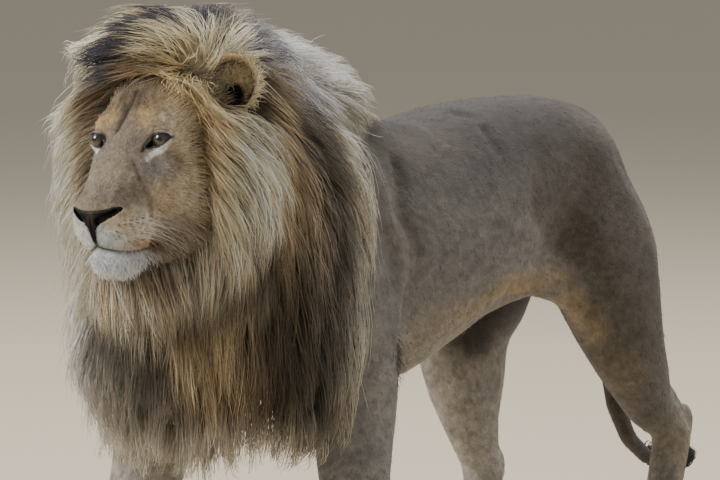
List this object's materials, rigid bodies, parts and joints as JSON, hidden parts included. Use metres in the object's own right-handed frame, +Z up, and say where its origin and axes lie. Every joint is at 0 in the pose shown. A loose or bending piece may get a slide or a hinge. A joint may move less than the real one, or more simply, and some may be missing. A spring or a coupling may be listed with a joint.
{
  "type": "adult male lion",
  "caption": "Life-size adult male lion with a full mane, in mid stride with its head raised and turned a little, tail hanging to a dark tuft; a still display model.",
  "frame": {"origin": "on the floor under the middle of the whole animal's box", "axes": "+Y from the muzzle to the tail, so that the lion faces -Y, +X towards its left side, +Z up from the soles"},
  "size_m": [0.4846, 1.9814, 1.2143],
  "materials": {
    "coat": "short, flat, slightly glossy tawny fur",
    "mane": "long coarse hair, blond to black",
    "eye": "wet amber eye with a round dark pupil",
    "nose": "bare damp nose leather, dark brown",
    "tuft": "coarse black tail tuft"
  },
  "bodies": {
    "root": {"head": "coat", "lower_jaw": "coat", "nose": "nose", "eye_left": "eye", "eye_right": "eye", "ear_left": "coat", "ear_right": "coat", "trunk": "coat", "foreleg_left": "coat", "forepaw_left": "coat", "foreleg_right": "coat", "forepaw_right": "coat", "thigh_left": "coat", "shank_left": "coat", "hindpaw_left": "coat", "thigh_right": "coat", "shank_right": "coat", "hindpaw_right": "coat", "tail_base": "coat", "tail_end": "coat", "tail_tuft": "tuft", "mane_crown": "mane", "neck_mane_left": "mane", "neck_mane_right": "mane", "mane_chest": "mane"}
  },
  "joints": []
}
